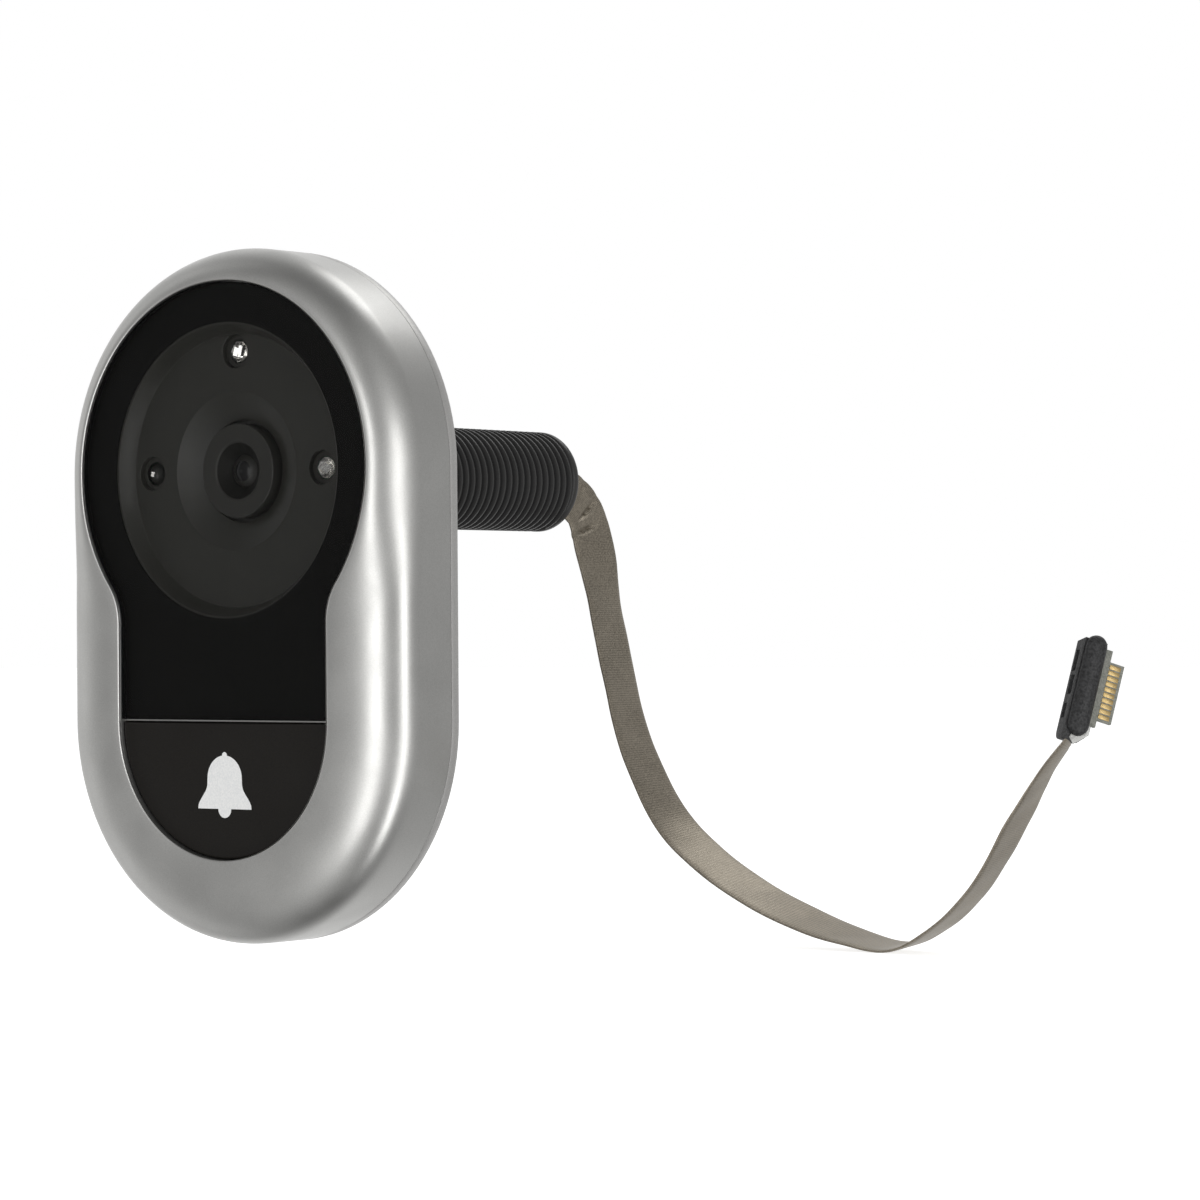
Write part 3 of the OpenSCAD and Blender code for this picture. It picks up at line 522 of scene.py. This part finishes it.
def spline(a, b, c, d, t):
    """Smooth curve from b to c as t goes from 0 to 1, with a and d as their neighbours."""
    return 0.5 * (2 * b + (c - a) * t + (2 * a - 5 * b + 4 * c - d) * t * t + (3 * b - a - 3 * c + d) * t * t * t)


def along(values, s):
    """Smooth value at s, from 0 to 1, along a list of knots."""
    last = len(values) - 1
    i = min(int(s * last), last - 1)
    return spline(values[max(i - 1, 0)], values[i], values[i + 1], values[min(i + 2, last)], s * last - i)


def ribbon_place(s):
    """Centre, way across and way out of the ribbon's face. Its ends point along the tube and the plug."""
    step, end_reach, end_pull = 0.002, 0.012, 20
    heading = (along(route, min(s + step, 1)) - along(route, max(s - step, 0))).normalized()
    start, end = max(0, 1 - s / end_reach), max(0, 1 - (1 - s) / end_reach)
    heading = (heading + start * end_pull * Vector((0, 1, 0)) + end * end_pull * plug_axis).normalized()
    ref = Vector((along(lean_x, s), 1, along(lean_z, s)))
    across = (ref - ref.dot(heading) * heading).normalized()
    return along(route, s), across, heading.cross(across)


def crease(s, w):
    """Small dents where the ribbon turns on its edge out of the tube, and the slight waves of its cloth."""
    length_mm, skew, dent_length, dent_width, fade = 135, 2.6, 0.6, 0.32, 12
    dents = 0
    for place, side, deep in ((0.098, 0.2, 0.3), (0.128, 0.08, 0.7), (0.158, -0.1, 0.65)):
        slant = (s - place) * length_mm + (w - side) * skew
        reach = (w - side) / dent_width
        dents += deep * math.exp(-(slant / dent_length) ** 2 - reach ** 2)
    waves = 0.03 * math.sin(s * 61 + w * 2) + 0.02 * math.sin(s * 143 - w * 5)
    return (waves * min(1, s * fade, (1 - s) * fade) - dents) * MM


def make_ribbon():
    """Ribbon with thin edges, oval where it gathers, and the line through its middle."""
    width, thick, path_steps = 7.4 * MM, 0.5 * MM, 200
    flat_to, taper = 0.43, 0.14
    bm = bmesh.new()
    bm.loops.layers.uv.new("weave")
    bmesh.ops.create_grid(bm, x_segments=300, y_segments=16, size=0.5, calc_uvs=True,
                          matrix=Matrix.Translation((0, 0, -0.5)))
    raised = bmesh.ops.extrude_face_region(bm, geom=bm.faces[:])["geom"]
    bmesh.ops.translate(bm, vec=(0, 0, 1), verts=[g for g in raised if isinstance(g, bmesh.types.BMVert)])
    for v in bm.verts:
        s, w = v.co.x + 0.5, v.co.y
        centre, across, normal = ribbon_place(s)
        share = along(gather, s)
        flat = 1 - max(0, abs(w) - flat_to) / taper
        oval = math.sqrt(max(0, 1 - 4 * w * w))
        rim = flat + (oval - flat) * min(1, 4 * (1 - share))
        lift = crease(s, w) + v.co.z * thick * (2 - share) * rim
        v.co = centre + across * w * width * share + normal * lift
    bmesh.ops.recalc_face_normals(bm, faces=bm.faces)
    ribbon = settle("flat_ribbon", bm, shield_cloth, "case", ["ribbon_free"], 50)
    return ribbon, [along(route, i / path_steps) for i in range(path_steps + 1)]


# Plug, in a frame of its own at the ribbon's end

plug_place = Matrix.Translation(route[-1]) @ plug_turn @ Matrix.Translation(Vector((0.7, -1.3, 0)) * MM)
side_pockets = [(-1.7, -0.75, 9.4, 12.3), (-1.55, -0.45, 6.2, 8.8), (-1.75, -0.85, 3.0, 5.0)]


def crowned_bar(bm):
    """Bar of half-round section with round ends, in the plug's own frame."""
    end_r, middle, seat, flank, crown = 1.48, 1.6, 0.3, 0.3, 1.1
    low, high = 0.9 + end_r, 14.5 - end_r
    half, over = 33, 14
    bmesh.ops.create_grid(bm, x_segments=2 * half, y_segments=over, size=0.5)
    for v in bm.verts:
        i, k = round((v.co.x + 0.5) * 2 * half) % (2 * half), round((v.co.y + 0.5) * over)
        turn = math.pi * (i // half + i % half / (half - 1))
        slope = math.pi / 2 * max(k - 1, 0) / (over - 1)
        r = end_r * math.cos(slope)
        rise = (flank + crown * math.sin(slope)) * min(k, 1)
        v.co = Vector((seat + rise, middle + r * math.cos(turn), (high, low)[i // half] + r * math.sin(turn))) * MM
    bmesh.ops.remove_doubles(bm, verts=bm.verts, dist=merge_gap)
    bmesh.ops.holes_fill(bm, edges=[e for e in bm.edges if e.is_boundary], sides=0)
    bmesh.ops.recalc_face_normals(bm, faces=bm.faces)


def sink_pockets(bm, places):
    """Sinks shallow pockets into the plug's side, each given by its reach across and along, in mm."""
    slope, depth, facing = 0.05 * MM, 0.3 * MM, -0.99
    bmesh.ops.transform(bm, matrix=plug_place.inverted(), verts=bm.verts)
    for left, right, low, high in places:
        for axis, cuts in ((0, (left, right)), (2, (low, high))):
            for cut in cuts:
                spot, way = Vector(), Vector()
                spot[axis], way[axis] = cut * MM, 1
                bmesh.ops.bisect_plane(bm, geom=bm.verts[:] + bm.edges[:] + bm.faces[:], plane_co=spot, plane_no=way)
    bm.normal_update()
    for left, right, low, high in places:
        floor = [f for f in bm.faces if f.normal.y < facing and left * MM < f.calc_center_median().x < right * MM
                 and low * MM < f.calc_center_median().z < high * MM]
        bmesh.ops.inset_region(bm, faces=floor, thickness=slope, depth=-depth)
    bmesh.ops.transform(bm, matrix=plug_place, verts=bm.verts)


def make_plug():
    bm = merged_copy("plug_housing")
    sink_pockets(bm, side_pockets)
    soften(bm, 0.1 * MM)
    housing = settle("plug_back", bm, plug_black, "case", ["plug_housing"])
    bm = bmesh.new()
    crowned_bar(bm)
    bmesh.ops.transform(bm, matrix=plug_place, verts=bm.verts)
    cover = settle("plug_bar", bm, plug_black, "case", ["plug_cover"])
    board = smooth_copy("plug_tongue", "plug_board", plug_laminate, 0.06)
    contacts = smooth_copy("plug_fingers", "plug_contacts", contact_gold, 0.025)
    film = smooth_copy("plug_clear_film", "plug_film", clear_film, 0.02)
    return [housing, cover, board, contacts, film]


# Camera block behind the window

# Lamps and sensor: place, height of the tip, and the bright flags inside, each with its tilt, roll, width, height
# and how far it stands to the side
lamp_insides = [
    ("top", 0, 15.4, 10, [(23.5, -17, 0.6, 1.1, -0.75), (21, -8, 0.7, 1.5, 0.1), (60, -14, 0.8, 1.4, 0.7)]),
    ("right", 14.6, 0, 10, [(23.5, 60, 1.1, 1.5, -0.3)]),
    ("left", -14.6, 0, 9.6, [(24, -13, 0.45, 0.6, -1.25)]),
]


def make_camera_block():
    smooth_copy("dark_cup", "light_baffle", baffle_black, 0.08, smooth_angle=15)
    hair = 0.01 * MM
    bm = merged_copy("panel_mask")
    bmesh.ops.translate(bm, vec=(0, hair, 0), verts=bm.verts)
    settle("mask_sheet", bm, mask_print, "case", ["panel_mask"])
    smooth_copy("lens_tube", "lens_barrel", barrel_black, 0.13)
    smooth_copy("lens_front", "lens_glass", coated_glass, 0.05)
    smooth_copy("lamp_domes", "infrared_lamps", lamp_epoxy, 0.04)
    smooth_copy("sensor_dome", "light_sensor", sensor_epoxy, 0.04)


def make_lens_rings():
    """Sloped dark sheet inside the barrel, as painted shade in the lens's hollow, and a thin collar that follows the
    lens's dome.
    """
    steps, dome_centre, dome_r, collar_thick = 96, -5.66, 3.03, 0.02
    bm = bmesh.new()
    # Painted shade: a dark sloped sheet over the barrel's hollow, where the lens sits deep in shade.
    shade = [(3.62, -9.3), (3.38, -8.95), (2.13, -7.95), (2.11, -7.9), (3.42, -8.88), (3.66, -9.24)]
    turned_about_tube(bm, shade, steps)
    settle("lens_painted_shade", bm, hollow_painted_shade, "case")
    bm = bmesh.new()
    dome = [(r, dome_centre - math.sqrt(dome_r ** 2 - r * r)) for r in (1.32, 1.5, 1.7, 1.9, 2.06)]
    underside = [(r, y + collar_thick) for r, y in (dome[-1], dome[0])]
    turned_about_tube(bm, dome + underside, steps)
    settle("lens_collar", bm, barrel_black, "case")


def make_lamp_cup(label, x, z, tip, flags):
    """Bright inside of a lamp: bowl, flags and post, made facing up and then turned to the front."""
    bowl_r, bowl_rise, bowl_top, below_tip = 1.6 * MM, 0.8 * MM, 0.3 * MM, 1.2
    flag_drop, flag_thick = -0.1 * MM, 0.1
    bm = bmesh.new()
    if label != "left":
        bmesh.ops.create_icosphere(bm, subdivisions=2, radius=bowl_r, matrix=Matrix.Translation((0, 0, bowl_rise)))
        bmesh.ops.delete(bm, geom=[v for v in bm.verts if v.co.z > bowl_top], context="VERTS")
        bmesh.ops.reverse_faces(bm, faces=bm.faces)
    for tilt, roll, wide, tall, side in flags:
        turned = Matrix.Rotation(math.radians(roll), 4, "Z") @ Matrix.Rotation(math.radians(tilt), 4, "Y")
        bmesh.ops.create_cube(bm, size=MM, matrix=Matrix.Translation((side * MM, 0, flag_drop)) @ turned
                              @ Matrix.Diagonal((wide, tall, flag_thick, 1)))
    post_place, post_size = Vector((0.3, 0.2, -1.9)) * MM, (0.3, 0.4, 2.2, 1)
    bmesh.ops.create_cube(bm, size=MM, matrix=Matrix.Translation(post_place) @ Matrix.Diagonal(post_size))
    bmesh.ops.transform(bm, verts=bm.verts, matrix=Matrix.Translation(Vector((x, below_tip - tip, z)) * MM)
                        @ Matrix.Rotation(math.radians(90), 4, "X"))
    settle("lamp_cup_" + label, bm, lamp_silver, "case", smooth_angle=3)


def make_lamp_seats():
    """Flat rings in which the lamps and the sensor sit."""
    inner, outer, floor, top = 1.53, 2.17, -8.9, -9.0
    bm = bmesh.new()
    for label, x, z, tip, flags in lamp_insides:
        placed = set(bm.verts)
        turned_about_tube(bm, [(inner, floor), (outer, floor), (outer, top), (inner, top)], 48)
        bmesh.ops.translate(bm, vec=(x * MM, 0, z * MM), verts=[v for v in bm.verts if v not in placed])
    settle("lamp_seats", bm, baffle_black, "case")


def dress_hidden_nodes():
    finishes = {
        "rear_gasket": gasket_foam, "case_seal": seal_rubber, "case_screws": screw_zinc,
        "window_tape": window_adhesive, "lens_holder": barrel_black, "image_sensor": chip_glass,
        "main_board": board_green, "board_screws": screw_zinc, "button_clips": spring_wire,
        "switch_body": switch_black, "switch_plunger": plunger_ivory,
        "tube_screws": screw_zinc, "ribbon_socket": plunger_ivory, "ribbon_inner": shield_cloth,
    }
    for node, material in finishes.items():
        nodes[node].data.materials.clear()
        nodes[node].data.materials.append(material)


ribbon, ribbon_path = make_ribbon()
make_case_front()
make_case_back()
make_window()
make_button()
make_tube()
plug_pieces = make_plug()
make_camera_block()
make_lens_rings()
for lamp in lamp_insides:
    make_lamp_cup(*lamp)
make_lamp_seats()
dress_hidden_nodes()


# Stage: pale floor, white ground, soft studio light

def seen_ground(owner):
    """1 for the rays that look at the white ground, 0 for the light that falls on the object."""
    path = add_node(owner, "ShaderNodeLightPath")
    return maths(owner, "MAXIMUM", path.outputs["Is Camera Ray"], path.outputs["Is Transmission Ray"])


def grey_ramp(owner, factor, stops):
    ramp = add_node(owner, "ShaderNodeValToRGB")
    points = ramp.color_ramp.elements
    while len(points) < len(stops):
        points.new(0.5)
    for point, (place, level) in zip(points, stops):
        point.position = place
        point.color = (level, level, level, 1)
    join(owner, factor, ramp.inputs["Fac"])
    return ramp.outputs["Color"]


def make_floor():
    """Pale floor that only the eye sees: it neither lights the object nor is mirrored in it."""
    below, half_width = 0.02 * MM, 3
    bm = bmesh.new()
    bmesh.ops.create_grid(bm, x_segments=1, y_segments=1, size=half_width,
                          matrix=Matrix.Translation((0, 0, cad_low.z - below)))
    mesh = bpy.data.meshes.new("floor")
    bm.to_mesh(mesh)
    bm.free()
    floor = bpy.data.objects.new("floor", mesh)
    scene.collection.objects.link(floor)
    material = blank_finish("floor_white", (0.8, 0.8, 0.8), 0.9, Specular_IOR_Level=0.0)
    glow = add_node(material, "ShaderNodeEmission", Color=(0.72, 0.72, 0.72, 1))
    join(material, seen_ground(material), glow.inputs["Strength"])
    both = add_node(material, "ShaderNodeAddShader")
    join(material, shader_of(material).outputs["BSDF"], both.inputs[0])
    join(material, glow.outputs[0], both.inputs[1])
    join(material, both.outputs[0], material.node_tree.nodes["Material Output"].inputs["Surface"])
    mesh.materials.append(material)
    floor.visible_diffuse = floor.visible_glossy = floor.visible_shadow = False


def make_studio():
    """White ground to the eye; round the object a pale tent, darker overhead and on the camera's side."""
    world = bpy.data.worlds.new("studio")
    scene.world = world
    world.use_nodes = True
    tent = world.node_tree.nodes["Background"]
    place = add_node(world, "ShaderNodeTexCoord")
    way = add_node(world, "ShaderNodeSeparateXYZ")
    join(world, place.outputs["Generated"], way.inputs[0])
    # Turn from the front and height, each as a share from 0 to 1
    turn = maths(world, "ARCTAN2", way.outputs["X"], maths(world, "MULTIPLY", way.outputs["Y"], -1))
    azimuth = maths(world, "MULTIPLY_ADD", turn, 0.5 / math.pi, 0.5)
    height = spread(world, way.outputs["Z"], -1, 1, 0, 1)
    walls = [(-180, 1.05), (-150, 1.12), (-130, 1.3), (-112, 0.95), (-98, 0.82), (-72, 1.12), (-52, 0.3), (-40, 0.38),
             (-25, 0.65), (0, 0.85), (42, 0.5), (60, 0.75), (80, 0.9), (110, 0.5), (142, 0.45), (160, 0.6), (180, 1.05)]
    level = grey_ramp(world, azimuth, [(a / 360 + 0.5, v) for a, v in walls])
    fall = grey_ramp(world, height, [(0.0, 0.1), (0.07, 0.5), (0.18, 0.85), (0.4, 1), (0.55, 1), (0.8, 0.8),
                                     (0.93, 0.5), (1.0, 0.2)])
    product = add_node(world, "ShaderNodeVectorMath", operation="MULTIPLY")
    join(world, level, product.inputs[0])
    join(world, fall, product.inputs[1])
    join(world, product.outputs[0], tent.inputs["Color"])
    white = add_node(world, "ShaderNodeBackground", Color=(1, 1, 1, 1))
    mix = add_node(world, "ShaderNodeMixShader")
    join(world, seen_ground(world), mix.inputs["Fac"])
    join(world, tent.outputs["Background"], mix.inputs[1])
    join(world, white.outputs[0], mix.inputs[2])
    join(world, mix.outputs[0], world.node_tree.nodes["World Output"].inputs["Surface"])


def soft_box(name, azimuth, height, distance, wide, tall, power):
    """Rectangular light at a turn in degrees from the front, aimed at the middle of the object."""
    aim = Vector((0.01, 0, -0.015))
    light = bpy.data.lights.new(name, "AREA")
    light.shape = "RECTANGLE"
    light.size, light.size_y = wide, tall
    light.energy = power
    a = math.radians(azimuth)
    box = bpy.data.objects.new(name, light)
    box.location = Vector((math.sin(a) * distance, -math.cos(a) * distance, height))
    box.rotation_euler = (aim - box.location).to_track_quat("-Z", "Y").to_euler()
    scene.collection.objects.link(box)


make_floor()
make_studio()
soft_box("front_box", 3, -0.12, 0.9, 0.3, 0.8, 2.6)
soft_box("side_box", 77, -0.3, 0.9, 0.36, 1.45, 5.4)
soft_box("back_box", 175, 0.74, 0.5, 0.42, 0.42, 1.5)
